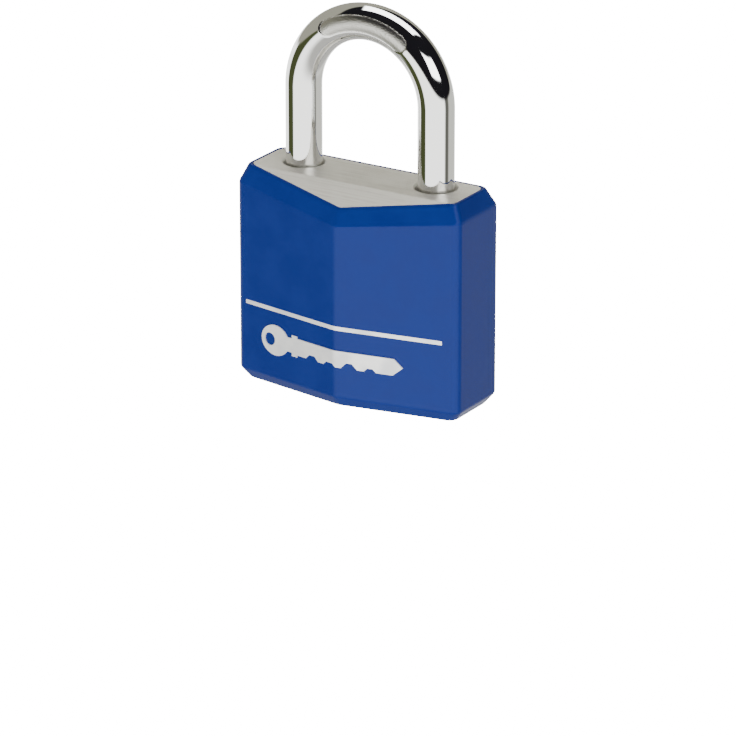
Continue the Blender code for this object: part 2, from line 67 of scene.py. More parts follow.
WHITE = (1.0, 1.0, 1.0, 1.0)
LOG = logging.getLogger("padlock")

Colour = tuple[float, float, float, float]
Node = bpy.types.Node
Socket = bpy.types.NodeSocket
BMesh = bmesh.types.BMesh


class Slot(Enum):
    """The record's material slots."""

    VINYL = "vinyl"
    ALUMINIUM = "aluminium"
    CHROME = "chrome"
    BRASS = "brass"
    STEEL = "steel"
    SPRING_WIRE = "spring_wire"


class Body(Enum):
    """The moving bodies that new pieces ride on."""

    CASE = "case"
    SHACKLE = "shackle"
    PLUG = "plug"


# ---------------------------------------------------------------- node groups


@dataclass
class NodeSheet:
    """A node tree being drawn, with short calls to add and link nodes."""

    tree: bpy.types.NodeTree

    def add(self, kind: str, **settings: object) -> Node:
        """Adds a node and sets its properties.

        Args:
            kind: The node's type name after "ShaderNode".
            **settings: Properties of the node.

        Returns:
            The new node.
        """
        node = self.tree.nodes.new("ShaderNode" + kind)
        for name, value in settings.items():
            setattr(node, name, value)
        return node

    def feed(self, node: Node, **values: object) -> Node:
        """Sets or links a node's inputs by name, with underscores for spaces.

        Args:
            node: The node that takes the inputs.
            **values: A socket to link, or a value to set.

        Returns:
            The same node.
        """
        for name, value in values.items():
            socket = node.inputs[name.replace("_", " ")]
            if isinstance(value, Socket):
                self.tree.links.new(value, socket)
            else:
                socket.default_value = value
        return node

    def math(self, operation: str, *operands: object) -> Socket:
        """One Math node on sockets or numbers.

        Args:
            operation: The Math node's operation.
            *operands: Up to three sockets or numbers.

        Returns:
            The result's socket.
        """
        node = self.add("Math", operation=operation)
        for index, operand in enumerate(operands):
            if isinstance(operand, Socket):
                self.tree.links.new(operand, node.inputs[index])
            else:
                node.inputs[index].default_value = operand
        return node.outputs[0]

    def spread(self, value: Socket, low: float, high: float,
               to_low: float = 0.0, to_high: float = 1.0) -> Socket:
        """Maps a value smoothly from one range to another.

        Args:
            value: The socket to map.
            low: The value that becomes to_low.
            high: The value that becomes to_high.
            to_low: The result at low.
            to_high: The result at high.

        Returns:
            The mapped socket.
        """
        node = self.add("MapRange", interpolation_type="SMOOTHSTEP")
        self.feed(node, Value=value, From_Min=low, From_Max=high, To_Min=to_low, To_Max=to_high)
        return node.outputs["Result"]

    def blend(self, factor: object, first: object, second: object) -> Socket:
        """Mixes two colours.

        Args:
            factor: A socket or a number.
            first: The colour at 0.
            second: The colour at 1.

        Returns:
            The mixed colour's socket.
        """
        node = self.add("Mix", data_type="RGBA")
        for socket, value in ((node.inputs[0], factor), (node.inputs[6], first), (node.inputs[7], second)):
            if isinstance(value, Socket):
                self.tree.links.new(value, socket)
            else:
                socket.default_value = value
        return node.outputs[2]

    def band(self, value: Socket, limits: tuple[float, float],
             soft: float) -> Socket:
        """A mask that is 1 between two limits.

        Args:
            value: The socket that is tested.
            limits: The low and the high limit.
            soft: Half the width of each soft edge.

        Returns:
            The mask's socket.
        """
        low, high = limits
        rising = self.spread(value, low - soft, low + soft)
        falling = self.spread(value, high - soft, high + soft, 1.0, 0.0)
        return self.math("MULTIPLY", rising, falling)

    def noise(self, vector: Socket, scale: object, detail: float = 3.0,
              roughness: float = 0.55) -> Socket:
        """A noise texture's value.

        Args:
            vector: The coordinates.
            scale: A socket or a number.
            detail: The noise's octaves.
            roughness: The share of each finer octave.

        Returns:
            The value's socket.
        """
        node = self.add("TexNoise")
        self.feed(node, Vector=vector, Scale=scale, Detail=detail, Roughness=roughness)
        return node.outputs["Fac"]


def start_group(name: str, inputs: dict[str, float],
                outputs: Iterable[str]) -> tuple[NodeSheet, Node, Node]:
    """Starts a shader node group of number sockets and one vector input.

    Args:
        name: The group's name.
        inputs: Each number input's name and default.
        outputs: The names of the number outputs.

    Returns:
        The group's sheet, its input node and its output node.
    """
    tree = bpy.data.node_groups.new(name, "ShaderNodeTree")
    tree.interface.new_socket("Vector", in_out="INPUT", socket_type="NodeSocketVector")
    for label, value in inputs.items():
        socket = tree.interface.new_socket(label, in_out="INPUT", socket_type="NodeSocketFloat")
        socket.default_value = value
    for label in outputs:
        tree.interface.new_socket(label, in_out="OUTPUT", socket_type="NodeSocketFloat")
    return NodeSheet(tree), tree.nodes.new("NodeGroupInput"), tree.nodes.new("NodeGroupOutput")


def build_surface_grain() -> bpy.types.NodeTree:
    """Fine grain with a slower unevenness, as a height and a mask.

    Returns:
        The node group.
    """
    slow_share, mask_low, mask_high = 0.08, 0.35, 0.65
    sheet, given, out = start_group(
        "surface_grain", {"Scale": 900.0, "Unevenness": 0.3}, ("Height", "Mask"))
    fine = sheet.noise(given.outputs["Vector"], given.outputs["Scale"], detail=2.0)
    slow_scale = sheet.math("MULTIPLY", given.outputs["Scale"], slow_share)
    slow = sheet.noise(given.outputs["Vector"], slow_scale, detail=3.0)
    uneven = sheet.math("MULTIPLY", slow, given.outputs["Unevenness"])
    mask = sheet.spread(slow, mask_low, mask_high)
    sheet.feed(out, Height=sheet.math("ADD", fine, uneven), Mask=mask)
    return sheet.tree


def build_hairlines() -> bpy.types.NodeTree:
    """Parallel fine lines, as brushing, rolling or milling leaves them, as a height and a mask.

    Returns:
        The node group.
    """
    mask_low, mask_high = 0.42, 0.62
    sheet, given, out = start_group(
        "hairlines", {"Density": 2500.0, "Stretch": 0.03}, ("Height", "Mask"))
    split = sheet.add("SeparateXYZ")
    sheet.feed(split, Vector=given.outputs["Vector"])
    join = sheet.add("CombineXYZ")
    sheet.feed(join, X=sheet.math("MULTIPLY", split.outputs["X"], given.outputs["Stretch"]),
               Y=split.outputs["Y"], Z=split.outputs["Z"])
    lines = sheet.noise(join.outputs["Vector"], given.outputs["Density"], detail=4.0, roughness=0.7)
    sheet.feed(out, Height=lines, Mask=sheet.spread(lines, mask_low, mask_high))
    return sheet.tree


def build_handling_wear() -> bpy.types.NodeTree:
    """Scattered rubs and smears from handling, as one mask.

    Returns:
        The node group.
    """
    least, reach, full = 0.72, 0.3, 0.85
    sheet, given, out = start_group("handling_wear", {"Scale": 120.0, "Amount": 0.5}, ("Mask",))
    broad = sheet.noise(given.outputs["Vector"], given.outputs["Scale"], detail=5.0, roughness=0.62)
    threshold = sheet.math("SUBTRACT", least, sheet.math("MULTIPLY", given.outputs["Amount"], reach))
    rubbed = sheet.add("MapRange", interpolation_type="SMOOTHSTEP")
    sheet.feed(rubbed, Value=broad, From_Min=threshold, From_Max=full)
    sheet.feed(out, Mask=rubbed.outputs["Result"])
    return sheet.tree


# ------------------------------------------------------------------- finishes


@dataclass(frozen=True)
class Effects:
    """The node groups that the finishes share."""

    grain: bpy.types.NodeTree
    hairlines: bpy.types.NodeTree
    wear: bpy.types.NodeTree

    @classmethod
    def build(cls) -> Effects:
        """Builds each group once."""
        return cls(build_surface_grain(), build_hairlines(), build_handling_wear())


@dataclass
class FinishDraft:
    """A material being made: its sheet, its shader and its object coordinates."""

    name: str
    sheet: NodeSheet = field(init=False)
    shader: Node = field(init=False)
    place: Socket = field(init=False)
    material: bpy.types.Material = field(init=False)

    def __post_init__(self) -> None:
        """Starts the material with its Principled shader."""
        self.material = bpy.data.materials.new(self.name)
        self.material.use_nodes = True
        self.sheet = NodeSheet(self.material.node_tree)
        self.shader = self.material.node_tree.nodes["Principled BSDF"]
        self.place = self.sheet.add("TexCoord").outputs["Object"]

    def group(self, tree: bpy.types.NodeTree, **values: float) -> Node:
        """Places a shared effect with its own values.

        Args:
            tree: The node group.
            **values: Its number inputs.

        Returns:
            The group node.
        """
        node = self.sheet.add("Group", node_tree=tree)
        return self.sheet.feed(node, Vector=self.place, **values)

    def bump(self, height: Socket, depth: float, strength: float = 1.0) -> None:
        """Feeds a height to the shader's normal.

        Args:
            height: The height, from 0 to 1.
            depth: How far 1 stands up, in metres.
            strength: The bump's strength.
        """
        node = self.sheet.add("Bump")
        self.sheet.feed(node, Height=height, Distance=depth, Strength=strength)
        self.sheet.feed(self.shader, Normal=node.outputs["Normal"])


@dataclass(frozen=True)
class MouldedVinyl:
    """Satin moulded vinyl, coloured through, a little polished where it is handled."""

    effects: Effects
    colour: Colour = (0.002, 0.0145, 0.13, 1.0)
    rubbed: Colour = (0.0025, 0.0165, 0.138, 1.0)
    roughness: float = 0.37
    rub_roughness: float = -0.08
    grain_roughness: float = 0.04
    specular: float = 0.19
    grain_depth: float = 0.006 * MM

    def build(self) -> bpy.types.Material:
        """Builds the material."""
        draft = FinishDraft("moulded_vinyl")
        sheet = draft.sheet
        grain = draft.group(self.effects.grain, Scale=2600.0, Unevenness=0.8)
        wear = draft.group(self.effects.wear, Scale=160.0, Amount=0.55)
        colour = sheet.blend(grain.outputs["Mask"], self.colour, self.rubbed)
        rough = sheet.math("MULTIPLY_ADD", wear.outputs["Mask"], self.rub_roughness, self.roughness)
        rough = sheet.math("MULTIPLY_ADD", grain.outputs["Mask"], self.grain_roughness, rough)
        sheet.feed(draft.shader, Base_Color=colour, Roughness=rough, Specular_IOR_Level=self.specular)
        draft.bump(grain.outputs["Height"], self.grain_depth)
        return draft.material


@dataclass(frozen=True)
class MilledAluminium:
    """Plain aluminium with the fine lines that the cutter leaves along the body."""

    effects: Effects
    colour: Colour = (0.76, 0.74, 0.66, 1.0)
    dull: Colour = (0.66, 0.635, 0.56, 1.0)
    roughness: float = 0.38
    line_roughness: float = 0.08
    wear_roughness: float = 0.07
    metallic: float = 0.45
    anisotropic: float = 0.3
    grain_share: float = 0.3
    line_depth: float = 0.004 * MM

    def build(self) -> bpy.types.Material:
        """Builds the material."""
        draft = FinishDraft("milled_aluminium")
        sheet = draft.sheet
        lines = draft.group(self.effects.hairlines, Density=3200.0, Stretch=0.02)
        grain = draft.group(self.effects.grain, Scale=1800.0, Unevenness=0.5)
        wear = draft.group(self.effects.wear, Scale=220.0, Amount=0.6)
        tone = sheet.math("MULTIPLY", lines.outputs["Mask"], grain.outputs["Mask"])
        rough = sheet.math("MULTIPLY_ADD", lines.outputs["Mask"], self.line_roughness, self.roughness)
        rough = sheet.math("MULTIPLY_ADD", wear.outputs["Mask"], self.wear_roughness, rough)
        sheet.feed(draft.shader, Base_Color=sheet.blend(tone, self.colour, self.dull),
                   Roughness=rough, Metallic=self.metallic, Anisotropic=self.anisotropic)
        height = sheet.math("MULTIPLY_ADD", grain.outputs["Height"], self.grain_share,
                            lines.outputs["Height"])
        draft.bump(height, self.line_depth)
        return draft.material


@dataclass(frozen=True)
class ChromePlate:
    """Bright chrome on drawn steel, with a stippled floor in the stamped panel."""

    effects: Effects
    colour: Colour = (0.78, 0.785, 0.775, 1.0)
    floor: Colour = (0.56, 0.555, 0.52, 1.0)
    roughness: float = 0.05
    wear_roughness: float = 0.05
    floor_roughness: float = 0.24
    grain_share: float = 0.02
    stipple_depth: float = 0.05 * MM

    def build(self) -> bpy.types.Material:
        """Builds the material."""
        draft = FinishDraft("chrome_plate")
        sheet = draft.sheet
        panel = sheet.add("Attribute", attribute_name=Shackle.PANEL_MASK).outputs["Fac"]
        grain = draft.group(self.effects.grain, Scale=420.0, Unevenness=1.0)
        stipple = draft.group(self.effects.grain, Scale=3600.0, Unevenness=0.2)
        wear = draft.group(self.effects.wear, Scale=260.0, Amount=0.5)
        rough = sheet.math("MULTIPLY_ADD", wear.outputs["Mask"], self.wear_roughness, self.roughness)
        rough = sheet.math("MULTIPLY_ADD", panel, self.floor_roughness, rough)
        colour = sheet.blend(panel, self.colour, self.floor)
        sheet.feed(draft.shader, Base_Color=colour, Roughness=rough, Metallic=1.0)
        stippled = sheet.math("MULTIPLY", stipple.outputs["Height"], panel)
        height = sheet.math("MULTIPLY_ADD", grain.outputs["Height"], self.grain_share, stippled)
        draft.bump(height, self.stipple_depth)
        return draft.material


@dataclass(frozen=True)
class SilverPrint:
    """Hot-stamped silver foil on the vinyl."""

    effects: Effects
    colour: Colour = (0.88, 0.88, 0.86, 1.0)
    thin: Colour = (0.7, 0.71, 0.72, 1.0)
    roughness: float = 0.34
    grain_roughness: float = 0.1
    metallic: float = 0.35
    grain_depth: float = 0.008 * MM

    def build(self) -> bpy.types.Material:
        """Builds the material."""
        draft = FinishDraft("silver_print")
        sheet = draft.sheet
        grain = draft.group(self.effects.grain, Scale=2200.0, Unevenness=0.6)
        rough = sheet.math("MULTIPLY_ADD", grain.outputs["Mask"], self.grain_roughness, self.roughness)
        sheet.feed(draft.shader, Base_Color=sheet.blend(grain.outputs["Mask"], self.colour, self.thin),
                   Roughness=rough, Metallic=self.metallic)
        draft.bump(grain.outputs["Height"], self.grain_depth)
        return draft.material


@dataclass(frozen=True)
class TurnedMetal:
    """A machined metal: brass, hardened steel or spring wire."""

    effects: Effects
    name: str
    colour: Colour
    stain: Colour
    roughness: float
    density: float
    wear_roughness: float = 0.15
    line_roughness: float = 0.08
    line_depth: float = 0.006 * MM

    def build(self) -> bpy.types.Material:
        """Builds the material."""
        draft = FinishDraft(self.name)
        sheet = draft.sheet
        lines = draft.group(self.effects.hairlines, Density=self.density, Stretch=0.15)
        wear = draft.group(self.effects.wear, Scale=300.0, Amount=0.8)
        rough = sheet.math("MULTIPLY_ADD", wear.outputs["Mask"], self.wear_roughness, self.roughness)
        rough = sheet.math("MULTIPLY_ADD", lines.outputs["Mask"], self.line_roughness, rough)
        colour = sheet.blend(wear.outputs["Mask"], self.colour, self.stain)
        sheet.feed(draft.shader, Base_Color=colour, Roughness=rough, Metallic=1.0)
        draft.bump(lines.outputs["Height"], self.line_depth)
        return draft.material


def all_finishes(effects: Effects) -> dict[Slot, bpy.types.Material]:
    """Builds the finish of each of the record's slots.

    Args:
        effects: The shared node groups.

    Returns:
        The material of each slot.
    """
    return {
        Slot.VINYL: MouldedVinyl(effects).build(),
        Slot.ALUMINIUM: MilledAluminium(effects).build(),
        Slot.CHROME: ChromePlate(effects).build(),
        Slot.BRASS: TurnedMetal(
            effects, "turned_brass", colour=(0.66, 0.45, 0.16, 1.0), stain=(0.45, 0.29, 0.1, 1.0),
            roughness=0.28, density=1800.0).build(),
        Slot.STEEL: TurnedMetal(
            effects, "hardened_steel", colour=(0.33, 0.33, 0.34, 1.0), stain=(0.2, 0.2, 0.21, 1.0),
            roughness=0.33, density=2200.0).build(),
        Slot.SPRING_WIRE: TurnedMetal(
            effects, "spring_wire", colour=(0.48, 0.48, 0.5, 1.0), stain=(0.3, 0.3, 0.31, 1.0),
            roughness=0.25, density=2600.0).build(),
    }


# ------------------------------------------------------------------ modelling


def verts_in(geometry: Iterable[object]) -> list[bmesh.types.BMVert]:
    """The points among an operator's results."""
    return [item for item in geometry if isinstance(item, bmesh.types.BMVert)]


def edges_in(geometry: Iterable[object]) -> list[bmesh.types.BMEdge]:
    """The edges among an operator's results."""
    return [item for item in geometry if isinstance(item, bmesh.types.BMEdge)]


def all_of(bm: BMesh) -> list[object]:
    """Every point, edge and face of a shape."""
    return bm.verts[:] + bm.edges[:] + bm.faces[:]


def thicken(bm: BMesh, shift: tuple[float, float, float]) -> None:
    """Draws a flat shape out into a solid.

    Args:
        bm: The flat shape.
        shift: How far and which way it is drawn out.
    """
    raised = bmesh.ops.extrude_face_region(bm, geom=bm.faces[:])["geom"]
    bmesh.ops.translate(bm, verts=verts_in(raised), vec=shift)
    bmesh.ops.recalc_face_normals(bm, faces=bm.faces)


def prism(outline: list[Vector], low: float, rise: float) -> BMesh:
    """An upright solid on an outline.

    Args:
        outline: The points in plan.
        low: The height of its underside.
        rise: Its height.

    Returns:
        The closed shape.
    """
    bm = bmesh.new()
    bm.faces.new([bm.verts.new((point.x, point.y, low)) for point in outline])
    thicken(bm, (0.0, 0.0, rise))
    return bm


def trim(bm: BMesh, point: Vector, normal: Vector) -> None:
    """Cuts off what lies beyond a plane and closes the cut.

    Args:
        bm: The closed shape.
        point: A point on the plane.
        normal: The side that is cut off.
    """
    cut = bmesh.ops.bisect_plane(bm, geom=all_of(bm), dist=PLANE_REACH, plane_co=point, plane_no=normal,
                                 clear_outer=True)
    rim = edges_in(cut["geom_cut"])
    if rim:
        bmesh.ops.edgeloop_fill(bm, edges=rim)


def extrude_end(bm: BMesh, edges: list[bmesh.types.BMEdge]
                ) -> tuple[list[bmesh.types.BMEdge], list[bmesh.types.BMVert]]:
    """Extrudes an open end where it stands.

    Args:
        bm: The open shape.
        edges: The open end's edges.

    Returns:
        The new end's edges and points.
    """
    made = bmesh.ops.extrude_edge_only(bm, edges=edges)["geom"]
    points = verts_in(made)
    fresh = set(points)
    return [edge for edge in edges_in(made) if all(vert in fresh for vert in edge.verts)], points


def finish_piece(bm: BMesh, name: str, body: Body, slot: Slot,
                 material: bpy.types.Material, sharp_degrees: float = 38.0) -> bpy.types.Object:
    """Turns a bmesh into a shaded object that rides on a body.

    Args:
        bm: The finished shape, which is freed.
        name: The piece's name.
        body: The body that it rides on.
        slot: Not used.
        material: Its finish.
        sharp_degrees: The fold above which an edge is drawn sharp.

    Returns:
        The new object.
    """
    mesh = bpy.data.meshes.new(name)
    bm.to_mesh(mesh)
    bm.free()
    mesh.materials.clear()
    mesh.materials.append(material)
    mesh.shade_smooth()
    mesh.set_sharp_from_angle(angle=math.radians(sharp_degrees))
    piece = bpy.data.objects.new(name, mesh)
    bpy.context.scene.collection.objects.link(piece)
    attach(piece, body.value)
    return piece


def even_normals(piece: bpy.types.Object) -> None:
    """Lets the large flat faces rule the shading beside small rounded edges."""
    modifier = piece.modifiers.new("even_normals", "WEIGHTED_NORMAL")
    modifier.keep_sharp = True


def rounded(corners: list[Vector], radii: list[float], steps: list[int],
            closed: bool = True) -> list[Vector]:
    """Rounds the corners of a flat line.

    Args:
        corners: The corners in order.
        radii: One radius for each corner.
        steps: The steps of each corner's arc.
        closed: Whether the last corner joins the first.

    Returns:
        The points of the rounded line.
    """
    points = []
    last = len(corners) - 1
    for index, (here, radius, count) in enumerate(zip(corners, radii, steps)):
        if not closed and index in (0, last):
            points.append(here.copy())
            continue
        before = (corners[index - 1] - here).normalized()
        after = (corners[(index + 1) % len(corners)] - here).normalized()
        half_angle = before.angle(after) / 2.0
        centre = here + (before + after).normalized() * radius / math.sin(half_angle)
        start = here + before * radius / math.tan(half_angle) - centre
        end = here + after * radius / math.tan(half_angle) - centre
        sweep = start.angle_signed(end)
        for step in range(count + 1):
            points.append(centre + Matrix.Rotation(-sweep * step / count, 2) @ start)
    return points


def cad_copy(node: str) -> BMesh:
    """A merged copy of a CAD node's mesh.

    Args:
        node: The node's name.

    Returns:
        The copy, with the points that lie together merged.
    """
    bm = bmesh.new()
    bm.from_mesh(frame["nodes"][node].data)
    bmesh.ops.remove_doubles(bm, verts=bm.verts, dist=CAD_WELD_DISTANCE)
    return bm


def boolean(bm: BMesh, other: BMesh, operation: str) -> BMesh:
    """Combines two closed shapes.

    Args:
        bm: The shape that is kept or cut, which is freed.
        other: The other shape, which is freed.
        operation: DIFFERENCE, INTERSECT or UNION.

    Returns:
        The result.
    """
    helpers = []
    for label, shape in (("kept", bm), ("tool", other)):
        mesh = bpy.data.meshes.new(label)
        shape.to_mesh(mesh)
        shape.free()
        helpers.append(bpy.data.objects.new(label, mesh))
        bpy.context.scene.collection.objects.link(helpers[-1])
    kept, tool = helpers
    modifier = kept.modifiers.new("boolean", "BOOLEAN")
    modifier.operation = operation
    modifier.object = tool
    modifier.solver = "EXACT"
    bpy.context.view_layer.update()
    result = bmesh.new()
    result.from_object(kept, bpy.context.evaluated_depsgraph_get())
    for helper in helpers:
        bpy.data.objects.remove(helper, do_unlink=True)
    return result


def drill(radius: float, low: float, high: float, centre: Vector, mouth: float) -> BMesh:
    """A drill along Z with a countersink at its top.

    Args:
        radius: The drill's radius.
        low: Its lower end.
        high: Its upper end.
        centre: Where its axis stands.
        mouth: How much wider than the drill the countersink is, and how deep.

    Returns:
        The closed shape.
    """
    segments = 96
    bm = bmesh.new()
    verts = bmesh.ops.create_circle(bm, segments=segments, radius=radius, cap_ends=True)["verts"]
    bmesh.ops.translate(bm, verts=verts, vec=(centre.x, centre.y, low))
    edges = bm.edges[:]
    axis = Matrix.Translation((-centre.x, -centre.y, 0.0))
    for rise, widen in ((high - mouth - low, 1.0), (mouth, 1.0 + mouth / radius)):
        edges, verts = extrude_end(bm, edges)
        bmesh.ops.translate(bm, verts=verts, vec=(0.0, 0.0, rise))
        bmesh.ops.scale(bm, vec=(widen, widen, 1.0), space=axis, verts=verts)
    bmesh.ops.edgeloop_fill(bm, edges=edges)
    bmesh.ops.recalc_face_normals(bm, faces=bm.faces)
    return bm


# -------------------------------------------------------------- jacket and body


@dataclass(frozen=True)
class PadlockPlan:
    """The padlock's outline in plan, a flat back and a front that is a shallow V."""

    low: Vector
    high: Vector
    facet_angle: float = math.atan2(3.9, 22.2)
    side_radius: float = 1.5 * MM
    crease_radius: float = 3.2 * MM
    back_share: float = 0.949
    apex_share: float = 0.872
    radius_growth: float = 0.1
    corner_steps: int = 7
    crease_steps: int = 6
    side_parts: int = 6
    facet_parts: int = 24
    back_parts: int = 48

    def outline(self, inset: float) -> list[Vector]:
        """The outline drawn in by an inset, always with the same number of points.

        Args:
            inset: How far the sides come in. The back and the apex follow in their shares.

        Returns:
            The points in plan, anticlockwise from above, from the left end of the back.
        """
        half = self.high.x - inset
        back = self.high.y - inset * self.back_share
        apex = self.low.y + inset * self.apex_share
        corner = apex + half * math.tan(self.facet_angle)
        radius = self.side_radius + self.radius_growth * inset
        places = [(-half, back), (-half, corner), (0.0, apex), (half, corner), (half, back)]
        radii = [radius, radius, self.crease_radius, radius, radius]
        arcs = rounded([Vector(place) for place in places], radii, [steps for steps, _parts in self._arcs()])
        filled = []
        stretches = self._stretch_ends()
        for index, point in enumerate(arcs):
            filled.append(point)
            parts = stretches.get(index, 1)
            following = arcs[(index + 1) % len(arcs)]
            filled.extend(point.lerp(following, part / parts) for part in range(1, parts))
        return filled

    def _arcs(self) -> list[tuple[int, int]]:
        """Each arc's steps and the parts of the straight stretch after it."""
        side, crease = self.corner_steps, self.crease_steps
        return [(side, self.side_parts), (side, self.facet_parts), (crease, self.facet_parts),
                (side, self.side_parts), (side, self.back_parts)]

    def _stretch_ends(self) -> dict[int, int]:
        """The parts of each straight stretch, by the index of the arc point before it."""
        ends, index = {}, -1
        for steps, parts in self._arcs():
            index += steps + 1
            ends[index] = parts
        return ends


@dataclass
class TopForm:
    """The slopes of the padlock's top: flat behind a ridge, falling to the apex before it."""

    plan: PadlockPlan
    rim_height: float = 3.0 * MM
    ridge_y: float = -3.6 * MM
    apex_drop: float = 3.2 * MM
    slope: float = 3.2 / 3.4

    def rim_foot(self, points: list[Vector]) -> list[float]:
        """The height of the rim's foot at each point of the wall's outline.

        Args:
            points: The wall's outline.

        Returns:
            One height for each point.
        """
        front = self.plan.low.y + self.plan.high.x * math.tan(self.plan.facet_angle)
        depth = front - self.plan.low.y
        falls = [min(max((front - point.y) / depth, 0.0), 1.0) for point in points]
        return [self.plan.high.z - self.rim_height - self.apex_drop * fall for fall in falls]

    def surface(self, y: float, top: float) -> float:
        """The height of the top surface at y."""
        return top - self.slope * max(0.0, self.ridge_y - y)


@dataclass
class Jacket:
    """The moulded vinyl jacket, one closed wall lofted through its sections."""

    plan: PadlockPlan
    top: TopForm
    finish: bpy.types.Material
    wall: float = 1.0 * MM
    window_radius: float = 6.0 * MM
    window_edge: float = 0.25 * MM
    below_rim: float = 2.0 * MM
    wall_shares: tuple[float, ...] = (0.35, 0.7)

    # Each row is an inset, a height, the corner's radius, all in millimetres, and the arc's steps.
    RIM_SECTION = ((0.0, -1.6, 0.0, 0), (0.0, 0.0, 2.2, 5), (1.37, 3.0, 0.32, 5), (1.9, 3.0, 0.07, 2),
                   (1.9, 2.1, 0.05, 1), (1.65, 2.1, 0.05, 1), (1.0, -0.2, 0.0, 0))
    BASE_SECTION = ((1.85, 0.0, 0.0, 0), (1.4, 0.0, 0.5, 4), (0.0, 1.9, 1.0, 4), (0.0, 6.0, 0.0, 0))

    @staticmethod
    def section(rows: Iterable[tuple[float, float, float, int]]) -> list[Vector]:
        """A rounded section, open at both ends.

        Args:
            rows: Its corners, as in RIM_SECTION.

        Returns:
            Its points as inset and height.
        """
        insets, heights, radii, steps = zip(*rows)
        corners = [Vector((inset * MM, height * MM)) for inset, height in zip(insets, heights)]
        return rounded(corners, [radius * MM for radius in radii], list(steps), closed=False)

    def window_ring(self, radius: float) -> list[Vector]:
        """A circle in plan, each point in line with its point of the flat bottom's outline."""
        flat_inset = self.BASE_SECTION[0][0] * MM
        return [point.normalized() * radius for point in self.plan.outline(flat_inset)]

    def levels(self) -> list[list[Vector]]:
        """The rings of the jacket from the window's outer edge round to its inner edge."""
        outline = self.plan.outline
        base = self.section(self.BASE_SECTION)
        low = base[-1].y
        feet = self.top.rim_foot(outline(0.0))
        flat = [(self.window_ring(self.window_radius), self.window_edge),
                (self.window_ring(self.window_radius + self.window_edge), 0.0)]
        flat += [(outline(level.x), level.y) for level in base]
        rings = [[Vector((point.x, point.y, height)) for point in ring] for ring, height in flat]
        for share in self.wall_shares:
            rings.append([Vector((point.x, point.y, low + (foot - self.below_rim - low) * share))
                          for point, foot in zip(outline(0.0), feet)])
        for level in self.section(self.RIM_SECTION):
            rings.append([self._rim_point(point, foot, level.y / self.top.rim_height)
                          for point, foot in zip(outline(level.x), feet)])
        for ring in (outline(self.wall), self.window_ring(self.window_radius)):
            rings.append([Vector((point.x, point.y, self.wall)) for point in ring])
        return rings

    def _rim_point(self, point: Vector, foot: float, share: float) -> Vector:
        """The point that stands a share of the way from the rim's foot to the top."""
        top = self.top.surface(point.y, self.plan.high.z)
        return Vector((point.x, point.y, foot + share * (top - foot)))

    def build(self) -> bpy.types.Object:
        """Lofts the wall ring by ring and closes it at the window."""
        rings = self.levels()
        bm = bmesh.new()
        place = bm.verts.layers.int.new("place")
        verts = [bm.verts.new(point) for point in rings[0]]
        for index, vert in enumerate(verts):
            vert[place] = index
        edges = [bm.edges.new((vert, verts[index - 1])) for index, vert in enumerate(verts)]
        first = edges
        for ring in rings[1:]:
            edges, verts = extrude_end(bm, edges)
            for vert in verts:
                vert.co = ring[vert[place]]
        bmesh.ops.bridge_loops(bm, edges=first + edges)
        bmesh.ops.recalc_face_normals(bm, faces=bm.faces)
        jacket = finish_piece(bm, "jacket", Body.CASE, Slot.VINYL, self.finish, sharp_degrees=50.0)
        even_normals(jacket)
        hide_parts("vinyl_jacket")
        return jacket


@dataclass
class BodyBlock:
    """The aluminium body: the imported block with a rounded, broken top edge and clean bores."""

    plan: PadlockPlan
    top: TopForm
    finish: bpy.types.Material
    edge_inset: float = 1.97 * MM
    edge_break: float = 0.22 * MM
    sunk: float = 0.02 * MM
    neck_depth: float = 0.9 * MM
    shoulder_inset: float = 0.5 * MM
    overrun: float = 1.0 * MM
    neck_foot: float = 10.0 * MM
    leg_bore: float = 3.62 * MM
    upward: float = 0.3
    heel_floor: float = 4.0 * MM
    toe_floor: float = 28.6 * MM
    countersink: float = 0.4 * MM
    drill_above: float = 0.1 * MM

    def form(self) -> BMesh:
        """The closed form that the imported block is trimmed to: a wide block under a narrow neck."""
        level = self.plan.high.z - self.sunk
        shoulder = level - self.neck_depth
        flat, slope = Vector((0.0, 0.0, 1.0)), Vector((0.0, -self.top.slope, 1.0)).normalized()
        block = prism(self.plan.outline(self.shoulder_inset), -self.overrun, shoulder + self.overrun)
        neck = prism(self.plan.outline(self.edge_inset), self.neck_foot, level)
        for normal in (flat, slope):
            trim(neck, Vector((0.0, self.top.ridge_y, level)), normal)
            trim(block, Vector((0.0, self.top.ridge_y, shoulder)), normal)
        upper = [face for face in neck.faces if face.normal.z > self.upward]
        rim = {edge for face in upper for edge in face.edges
               if sum(other in upper for other in edge.link_faces) == 1}
        bmesh.ops.bevel(neck, geom=list(rim), offset=self.edge_break, segments=2, profile=0.5,
                        affect="EDGES", material=-1, clamp_overlap=True)
        return boolean(block, neck, "UNION")

    def build(self) -> bpy.types.Object:
        """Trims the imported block, breaks its edge and bores it again."""
        bm = boolean(cad_copy("body_block"), self.form(), "INTERSECT")
        low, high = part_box("shackle")
        radius = (high.y - low.y) / 2.0
        top = self.plan.high.z + self.drill_above
        for side, floor in ((-1.0, self.heel_floor), (1.0, self.toe_floor)):
            centre = Vector((side * (high.x - radius), (low.y + high.y) / 2.0, 0.0))
            bm = boolean(bm, drill(self.leg_bore, floor, top, centre, self.countersink), "DIFFERENCE")
        bmesh.ops.remove_doubles(bm, verts=bm.verts, dist=WELD_DISTANCE)
        block = finish_piece(bm, "aluminium_body", Body.CASE, Slot.ALUMINIUM, self.finish, sharp_degrees=30.0)
        even_normals(block)
        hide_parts("body_block")
        return block


# ----------------------------------------------------------------- front marks


